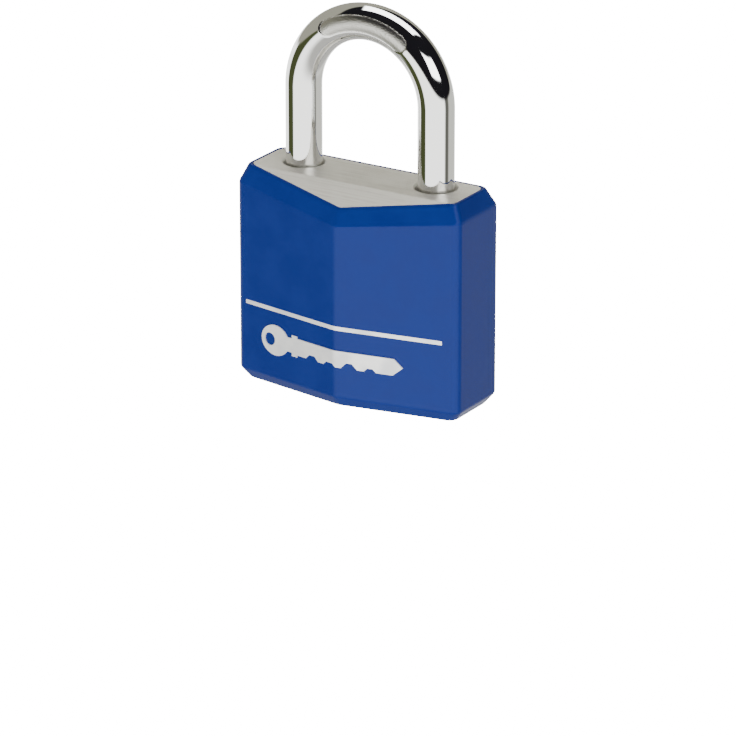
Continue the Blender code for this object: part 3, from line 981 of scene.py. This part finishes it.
@dataclass
class FrontMarks:
    """The silver line and the key mark, thin shapes laid on the jacket's front."""

    jacket: bpy.types.Object
    finish: bpy.types.Material
    crease_cuts: tuple[float, ...] = (-0.6, -0.4, -0.2, 0.0, 0.2, 0.4, 0.6)
    sunk: float = 0.15 * MM
    line_size: tuple[float, float] = (39.5 * MM, 0.72 * MM)
    line_place: tuple[float, float] = (-0.45 * MM, 14.4 * MM)
    line_proud: float = 0.05 * MM
    key_place: tuple[float, float] = (-1.0 * MM, 8.9 * MM)
    key_proud: float = 0.22 * MM

    # The key mark in millimetres round its own middle. The bow is an oval, open towards the blade.
    BOW_CENTRE, BOW_RADII, BOW_STEPS = -12.4, (3.1, 2.75), 28
    BOW_OPENING = 28.0
    HOLE_CENTRE, HOLE_RADIUS, HOLE_STEPS = -13.6, 1.15, 24
    BLADE = ((-8.6, -1.3), (-8.6, -1.9), (-7.4, -1.9), (-7.4, -1.5), (-5.4, -1.5), (-4.6, -0.7),
             (-3.4, -0.7), (-2.6, -1.5), (-1.4, -1.5), (-0.8, -0.9), (0.6, -0.9), (1.2, -1.5),
             (2.2, -1.5), (3.2, -0.5), (4.2, -0.5), (5.2, -1.5), (6.4, -1.5), (7.0, -0.9),
             (8.0, -0.9), (8.6, -1.5), (11.6, -1.5), (13.4, 0.0), (11.8, 1.5), (-7.4, 1.5),
             (-7.4, 1.9), (-8.6, 1.9), (-8.6, 1.3))

    def _surface(self) -> Callable[[float, float], float]:
        """A function that gives the jacket's front at x and z."""
        tree = BVHTree.FromObject(self.jacket, bpy.context.evaluated_depsgraph_get())
        before, inwards = -50.0 * MM, Vector((0.0, 1.0, 0.0))

        def front(x: float, z: float) -> float:
            """The y of the jacket's front."""
            return tree.ray_cast(Vector((x, before, z)), inwards)[0].y

        return front

    def _lay(self, bm: BMesh, name: str, proud: float) -> bpy.types.Object:
        """Bends a flat shape, drawn in x and z with y as its thickness, onto the front.

        Args:
            bm: The shape. Its y runs from 0 at the back to 1 at the front.
            name: The piece's name.
            proud: How far it stands out of the jacket.

        Returns:
            The piece.
        """
        for x in self.crease_cuts:
            bmesh.ops.bisect_plane(bm, geom=all_of(bm), dist=PLANE_REACH,
                                   plane_co=(x * MM, 0.0, 0.0), plane_no=(1.0, 0.0, 0.0))
        front = self._surface()
        for vert in bm.verts:
            vert.co.y = front(vert.co.x, vert.co.z) + self.sunk - vert.co.y * (self.sunk + proud)
        bmesh.ops.recalc_face_normals(bm, faces=bm.faces)
        return finish_piece(bm, name, Body.CASE, Slot.ALUMINIUM, self.finish, sharp_degrees=30.0)

    def line(self) -> bpy.types.Object:
        """The silver line across the front."""
        bm = bmesh.new()
        bmesh.ops.create_cube(bm, size=1.0)
        width, height = self.line_size
        x, z = self.line_place
        bmesh.ops.scale(bm, vec=(width, 1.0, height), verts=bm.verts)
        bmesh.ops.translate(bm, vec=(x, 0.5, z), verts=bm.verts)
        return self._lay(bm, "silver_line", self.line_proud)

    def _key_outlines(self) -> list[list[tuple[float, float]]]:
        """The key mark's outline, a bow and a blade with plain cuts, and the hole in its bow."""
        opening = math.radians(self.BOW_OPENING)
        sweep = (2.0 * math.pi - 2.0 * opening) / self.BOW_STEPS
        wide, tall = self.BOW_RADII
        bow = [(wide * math.cos(turn) + self.BOW_CENTRE, tall * math.sin(turn))
               for turn in (opening + sweep * step for step in range(self.BOW_STEPS + 1))]
        part = 2.0 * math.pi / self.HOLE_STEPS
        hole = [(self.HOLE_RADIUS * math.cos(part * step) + self.HOLE_CENTRE,
                 self.HOLE_RADIUS * math.sin(part * step)) for step in range(self.HOLE_STEPS)]
        return [bow + list(self.BLADE), hole]

    def key(self) -> bpy.types.Object:
        """The raised key mark under the line."""
        curve = bpy.data.curves.new("key_mark", "CURVE")
        curve.dimensions = "2D"
        curve.fill_mode = "BOTH"
        for outline in self._key_outlines():
            spline = curve.splines.new("POLY")
            spline.points.add(len(outline) - 1)
            for point, (x, y) in zip(spline.points, outline):
                point.co = (x * MM, y * MM, 0.0, 1.0)
            spline.use_cyclic_u = True
        helper = bpy.data.objects.new("key_mark_curve", curve)
        bpy.context.scene.collection.objects.link(helper)
        bpy.context.view_layer.update()
        flat = bpy.data.meshes.new_from_object(helper.evaluated_get(bpy.context.evaluated_depsgraph_get()))
        bpy.data.objects.remove(helper, do_unlink=True)
        bm = bmesh.new()
        bm.from_mesh(flat)
        bmesh.ops.remove_doubles(bm, verts=bm.verts, dist=WELD_DISTANCE)
        bmesh.ops.dissolve_limit(bm, angle_limit=0.01, verts=bm.verts, edges=bm.edges)
        upright = Matrix.Rotation(math.radians(90.0), 3, "X")
        bmesh.ops.rotate(bm, verts=bm.verts, cent=(0.0, 0.0, 0.0), matrix=upright)
        thicken(bm, (0.0, 1.0, 0.0))
        bmesh.ops.translate(bm, verts=bm.verts, vec=(self.key_place[0], 0.0, self.key_place[1]))
        return self._lay(bm, "key_mark", self.key_proud)


# --------------------------------------------------------------------- shackle


@dataclass
class Shackle:
    """The bent wire shackle, with its notches, its neck and the stamped panel on its arch."""

    PANEL_MASK = "panel"

    finish: bpy.types.Material
    around: int = 128
    arch_steps: int = 260
    leg_steps: int = 8
    tip_break: float = 0.7 * MM
    neck_radius: float = 2.1 * MM
    neck: tuple[float, float] = (14.6 * MM, 27.4 * MM)
    neck_shoulder: float = 0.35 * MM
    toe_tip: float = 29.2 * MM
    notch: tuple[float, float] = (30.7 * MM, 36.5 * MM)
    notch_depth: float = 1.3 * MM
    panel_turn: tuple[float, float] = (50.0, 126.0)
    panel_half_width: float = 1.55 * MM
    panel_tilt: float = 6.0
    panel_depth: float = 0.16 * MM
    panel_slope: float = 0.3 * MM

    def __post_init__(self) -> None:
        """Reads the wire's radius, its legs and its arch from the frame."""
        low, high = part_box("shackle")
        self.radius = (high.y - low.y) / 2.0
        self.leg_x = high.x - self.radius
        self.leg_y = (low.y + high.y) / 2.0
        self.heel_tip = low.z
        self.arch_z = high.z - self.radius - self.leg_x

    def _ring(self, bm: BMesh, edges: list[bmesh.types.BMEdge], level: float,
              scale: float, centre: Vector) -> list[bmesh.types.BMEdge]:
        """Extrudes the open end to a level and scales it there.

        Args:
            bm: The wire.
            edges: The open end's edges.
            level: The height to reach.
            scale: The factor that the end is widened or narrowed by.
            centre: A point on the leg's axis.

        Returns:
            The new end's edges.
        """
        edges, verts = extrude_end(bm, edges)
        here = sum(vert.co.z for vert in verts) / len(verts)
        bmesh.ops.translate(bm, verts=verts, vec=(0.0, 0.0, level - here))
        axis = Matrix.Translation((-centre.x, -centre.y, 0.0))
        bmesh.ops.scale(bm, vec=(scale, scale, 1.0), space=axis, verts=verts)
        return edges

    def _leg_levels(self, start: float, end: float) -> list[float]:
        """The evenly spaced heights of a leg's rings, without the first."""
        return [start + (end - start) * part / self.leg_steps for part in range(1, self.leg_steps + 1)]

    def wire(self) -> BMesh:
        """The wire from the toe tip over the arch to the heel tip."""
        toe = Vector((self.leg_x, self.leg_y, 0.0))
        heel = Vector((-self.leg_x, self.leg_y, 0.0))
        tip_scale = (self.radius - self.tip_break) / self.radius
        bm = bmesh.new()
        verts = bmesh.ops.create_circle(bm, segments=self.around, radius=self.radius - self.tip_break,
                                        cap_ends=True)["verts"]
        bmesh.ops.translate(bm, verts=verts, vec=(toe.x, toe.y, self.toe_tip))
        edges = bm.edges[:]
        top = self.arch_z
        full = self.toe_tip + self.tip_break
        edges = self._ring(bm, edges, full, 1.0 / tip_scale, toe)
        for level in self._leg_levels(full, top):
            edges = self._ring(bm, edges, level, 1.0, toe)
        spun = bmesh.ops.spin(bm, geom=edges, cent=(0.0, self.leg_y, top), axis=(0.0, 1.0, 0.0),
                              dvec=(0.0, 0.0, 0.0), angle=-math.pi, steps=self.arch_steps)
        edges = edges_in(spun["geom_last"])
        narrow = self.neck_radius / self.radius
        neck_low, neck_high = self.neck
        for level in self._leg_levels(top, neck_high + self.neck_shoulder):
            edges = self._ring(bm, edges, level, 1.0, heel)
        for level, scale in (
            (neck_high, narrow), (neck_low, 1.0), (neck_low - self.neck_shoulder, 1.0 / narrow),
            (self.heel_tip + self.tip_break, 1.0), (self.heel_tip, tip_scale),
        ):
            edges = self._ring(bm, edges, level, scale, heel)
        bmesh.ops.edgeloop_fill(bm, edges=edges)
        bmesh.ops.remove_doubles(bm, verts=bm.verts, dist=WELD_DISTANCE)
        bmesh.ops.recalc_face_normals(bm, faces=bm.faces)
        return bm

    def stamp(self, bm: BMesh) -> None:
        """Presses the panel into the front of the arch and marks its floor.

        Args:
            bm: The wire.
        """
        mask = bm.verts.layers.float.new(self.PANEL_MASK)
        start, end = (math.radians(turn) for turn in self.panel_turn)
        middle, half_turn = (start + end) / 2.0, (end - start) / 2.0
        tilt = math.radians(self.panel_tilt)
        half_length = half_turn * self.leg_x - self.panel_half_width
        for vert in bm.verts:
            if vert.co.z < self.arch_z:
                continue
            turn = math.atan2(vert.co.z - self.arch_z, vert.co.x)
            radial = Vector((math.cos(turn), 0.0, math.sin(turn)))
            axis = Vector((0.0, self.leg_y, self.arch_z)) + radial * self.leg_x
            out = vert.co - axis
            around = (math.atan2(out.dot(radial), -out.y) - tilt) * self.radius
            if abs(around) > 2.0 * self.panel_half_width:
                continue
            along = max(abs(turn - middle) * self.leg_x - half_length, 0.0)
            inside = self.panel_half_width - math.hypot(along, around)
            share = min(max(inside / self.panel_slope + 0.5, 0.0), 1.0)
            share = share * share * (3.0 - 2.0 * share)
            vert[mask] = share
            vert.co -= out.normalized() * self.panel_depth * share

    def notch_tool(self, side: float) -> BMesh:
        """The cutter of a leg's latch notch.

        Args:
            side: -1 for the heel leg and 1 for the toe leg.

        Returns:
            The closed shape.
        """
        low, high = self.notch
        width, depth = 6.0 * MM, 10.0 * MM
        middle_x = side * (self.leg_x - self.radius + self.notch_depth - width / 2.0)
        bm = bmesh.new()
        bmesh.ops.create_cube(bm, size=1.0)
        bmesh.ops.scale(bm, vec=(width, depth, high - low), verts=bm.verts)
        bmesh.ops.translate(bm, vec=(middle_x, self.leg_y, (low + high) / 2.0), verts=bm.verts)
        return bm

    def build(self) -> bpy.types.Object:
        """Makes the wire, stamps it, notches its legs and plates it."""
        bm = self.wire()
        for side in (-1.0, 1.0):
            bm = boolean(bm, self.notch_tool(side), "DIFFERENCE")
        self.stamp(bm)
        shackle = finish_piece(bm, "shackle_wire", Body.SHACKLE, Slot.CHROME, self.finish)
        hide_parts("shackle")
        return shackle


# ------------------------------------------------------------- cylinder and works


@dataclass
class Works:
    """What shows at the bottom and works inside: plug, cam, latches, pins and springs."""

    finishes: dict[Slot, bpy.types.Material]
    flat_angle: float = 0.5
    edge_break: float = 0.1 * MM
    edge_angle: float = 40.0

    def plug(self) -> bpy.types.Object:
        """The brass plug with its face and keyway edges broken."""
        bm = cad_copy("plug")
        flat = math.radians(self.flat_angle)
        bmesh.ops.dissolve_limit(bm, angle_limit=flat, verts=bm.verts, edges=bm.edges)
        brass = self.finishes[Slot.BRASS]
        plug = finish_piece(bm, "keyed_plug", Body.PLUG, Slot.BRASS, brass, sharp_degrees=30.0)
        bevel = plug.modifiers.new("broken_edges", "BEVEL")
        bevel.width = self.edge_break
        bevel.segments = 2
        bevel.limit_method = "ANGLE"
        bevel.angle_limit = math.radians(self.edge_angle)
        even_normals(plug)
        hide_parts("plug")
        return plug

    def dress(self) -> None:
        """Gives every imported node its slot's finish."""
        for entry in frame["record"]["subparts"]:
            node = frame["nodes"][entry["node"]]
            finish = self.finishes[Slot(entry["material_slot"])]
            node.data.materials.clear()
            node.data.materials.append(finish)
            LOG.info("%s dressed in %s", node.name, finish.name)


# ----------------------------------------------------------------------- studio


@dataclass
class Studio:
    """Camera, floor, lamps and the light that the room sends."""

    azimuth: float = 31.91
    elevation: float = 20.74
    distance: float = 0.9364
    lens: float = 265.8
    aim: Vector = field(default_factory=lambda: Vector((-0.24 * MM, 2.5 * MM, 3.55 * MM)))
    key_place: Vector = field(default_factory=lambda: Vector((0.48, -0.92, 0.22)))
    key_size: float = 0.5
    key_power: float = 15.0
    floor_half: float = 6.0
    backdrop: float = 18.0
    table_near: Colour = (0.75, 0.74, 0.7, 1.0)
    table_far: Colour = (3.0, 3.0, 2.95, 1.0)
    table_end: Colour = (1.0, 1.0, 0.92, 1.0)
    edge_colour: Colour = (0.17, 0.17, 0.15, 1.0)
    gap_colour: Colour = (0.085, 0.1, 0.04, 1.0)
    wall_colour: Colour = (0.5, 0.49, 0.4, 1.0)
    dark_colour: Colour = (0.015, 0.014, 0.018, 1.0)
    softbox_colour: Colour = (7.0, 7.0, 7.0, 1.0)
    softbox_diffuse: float = 0.05
    wall_azimuth: float = -122.0
    wall_rise: float = 1.15

    # Limits of direction: azimuths in radians from the front, and x, y and z of the unit direction.
    FAR_TABLE = (-0.75, -0.4)
    OUTER_TABLE = (-0.75, -0.5)
    TABLE_END = (1.5, 1.75)
    EDGE_AZIMUTHS = (1.5, 1.95)
    GAP_AZIMUTHS = (-1.4, -0.66)
    HORIZON = (-0.04, 0.04)
    TABLE_RIM, RIM_TILT = (-0.01, 0.07), 0.1
    WALL_RIM = (-0.04, 0.06)
    OVERHEAD_X, OVERHEAD_Y, OVERHEAD_Z = (-0.52, 0.4), (-0.05, 0.48), (0.3, 0.4)
    RIGHT_AZIMUTHS, RIGHT_Z = (0.75, 1.55), (0.26, 0.62)

    def camera(self) -> None:
        """Stands the camera right of the front and above."""
        side, rise = math.radians(self.azimuth), math.radians(self.elevation)
        back = Vector((math.sin(side) * math.cos(rise), -math.cos(side) * math.cos(rise), math.sin(rise)))
        data = bpy.data.cameras.new("camera")
        data.lens = self.lens
        data.clip_start, data.clip_end = 0.05, 50.0
        camera = bpy.data.objects.new("camera", data)
        camera.location = self.aim + back * self.distance
        camera.rotation_euler = back.to_track_quat("Z", "Y").to_euler()
        bpy.context.scene.collection.objects.link(camera)
        bpy.context.scene.camera = camera

    def floor(self) -> None:
        """A plain pale table, kept out of mirror reflections."""
        bm = bmesh.new()
        bmesh.ops.create_grid(bm, x_segments=4, y_segments=4, size=self.floor_half)
        mesh = bpy.data.meshes.new("floor")
        bm.to_mesh(mesh)
        bm.free()
        floor = bpy.data.objects.new("floor", mesh)
        floor.location.z = -0.1 * MM
        material = bpy.data.materials.new("pale_table")
        material.use_nodes = True
        NodeSheet(material.node_tree).feed(
            material.node_tree.nodes["Principled BSDF"], Base_Color=(0.9, 0.9, 0.9, 1.0), Roughness=0.9,
            Specular_IOR_Level=0.0, Emission_Color=WHITE, Emission_Strength=self.backdrop)
        mesh.materials.append(material)
        bpy.context.scene.collection.objects.link(floor)
        floor.visible_glossy = False
        floor.visible_diffuse = False

    def key_lamp(self) -> None:
        """A soft area lamp at the right of the front that looks at the padlock."""
        data = bpy.data.lights.new("key", "AREA")
        data.size = self.key_size
        data.energy = self.key_power
        lamp = bpy.data.objects.new("key", data)
        lamp.location = self.key_place
        looks_at = Vector((0.0, 0.0, 30.0 * MM))
        lamp.rotation_euler = (self.key_place - looks_at).to_track_quat("Z", "Y").to_euler()
        lamp.visible_glossy = False
        bpy.context.scene.collection.objects.link(lamp)

    def room(self) -> None:
        """A light table in a dark room, with a pale wall behind at the left and two softboxes."""
        world = bpy.data.worlds.new("light_table_room")
        bpy.context.scene.world = world
        world.use_nodes = True
        sheet = NodeSheet(world.node_tree)
        ground = world.node_tree.nodes["Background"]
        split = sheet.add("SeparateXYZ")
        sheet.feed(split, Vector=sheet.add("TexCoord").outputs["Generated"])
        x, y, z = (split.outputs[axis] for axis in "XYZ")
        azimuth = sheet.math("ARCTAN2", x, sheet.math("MULTIPLY", y, -1.0))
        table = self._table(sheet, azimuth, z)
        lower = sheet.blend(sheet.spread(z, *self.HORIZON), table, self.wall_colour)
        wall_side = math.radians(self.wall_azimuth)
        facing = sheet.math("MULTIPLY_ADD", x, math.sin(wall_side),
                            sheet.math("MULTIPLY", y, -math.cos(wall_side)))
        above_table = sheet.spread(sheet.math("MULTIPLY_ADD", x, self.RIM_TILT, z), *self.TABLE_RIM)
        above_wall = sheet.spread(sheet.math("MULTIPLY_ADD", facing, -self.wall_rise, z), *self.WALL_RIM)
        dark = sheet.math("MULTIPLY", above_table, above_wall)
        colour = sheet.blend(dark, lower, self.dark_colour)
        overhead = sheet.math("MULTIPLY", sheet.band(x, self.OVERHEAD_X, 0.02),
                              sheet.band(y, self.OVERHEAD_Y, 0.02))
        overhead = sheet.math("MULTIPLY", overhead, sheet.spread(z, *self.OVERHEAD_Z))
        right = sheet.math("MULTIPLY", sheet.band(azimuth, self.RIGHT_AZIMUTHS, 0.05),
                           sheet.band(z, self.RIGHT_Z, 0.03))
        path = sheet.add("LightPath").outputs
        dimming = sheet.spread(path["Is Diffuse Ray"], 0.0, 1.0, 1.0, self.softbox_diffuse)
        boxes = sheet.math("MULTIPLY", sheet.math("MAXIMUM", overhead, right), dimming)
        colour = sheet.blend(boxes, colour, self.softbox_colour)
        backdrop = (self.backdrop, self.backdrop, self.backdrop, 1.0)
        sheet.feed(ground, Color=sheet.blend(path["Is Camera Ray"], colour, backdrop), Strength=1.0)

    def _table(self, sheet: NodeSheet, azimuth: Socket, z: Socket) -> Socket:
        """The light table's colour by direction.

        Args:
            sheet: The world's nodes.
            azimuth: The direction's azimuth from the front.
            z: The direction's rise.

        Returns:
            The colour's socket.
        """
        outer = sheet.spread(z, *self.OUTER_TABLE)
        table = sheet.blend(sheet.spread(z, *self.FAR_TABLE), self.table_near, self.table_far)
        for mask, colour in (
            (sheet.spread(azimuth, *self.TABLE_END), self.table_end),
            (sheet.band(azimuth, self.EDGE_AZIMUTHS, 0.1), self.edge_colour),
            (sheet.band(azimuth, self.GAP_AZIMUTHS, 0.06), self.gap_colour),
        ):
            table = sheet.blend(sheet.math("MULTIPLY", mask, outer), table, colour)
        return table

    def build(self) -> None:
        """Sets up the whole studio."""
        self.camera()
        self.floor()
        self.room()
        self.key_lamp()


def main() -> None:
    """Builds the padlock's looks piece by piece."""
    logging.basicConfig(level=logging.INFO, format="%(name)s: %(message)s")
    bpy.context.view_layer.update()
    jacket_low, jacket_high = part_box("vinyl_jacket")
    effects = Effects.build()
    finishes = all_finishes(effects)
    plan = PadlockPlan(jacket_low, jacket_high)
    top = TopForm(plan)
    jacket = Jacket(plan, top, finishes[Slot.VINYL]).build()
    block = BodyBlock(plan, top, finishes[Slot.ALUMINIUM]).build()
    marks = FrontMarks(jacket, SilverPrint(effects).build())
    works = Works(finishes)
    made = [jacket, block, marks.line(), marks.key(), Shackle(finishes[Slot.CHROME]).build(), works.plug()]
    LOG.info("built %s", ", ".join(piece.name for piece in made))
    works.dress()
    Studio().build()


if __name__ == "__main__":
    main()
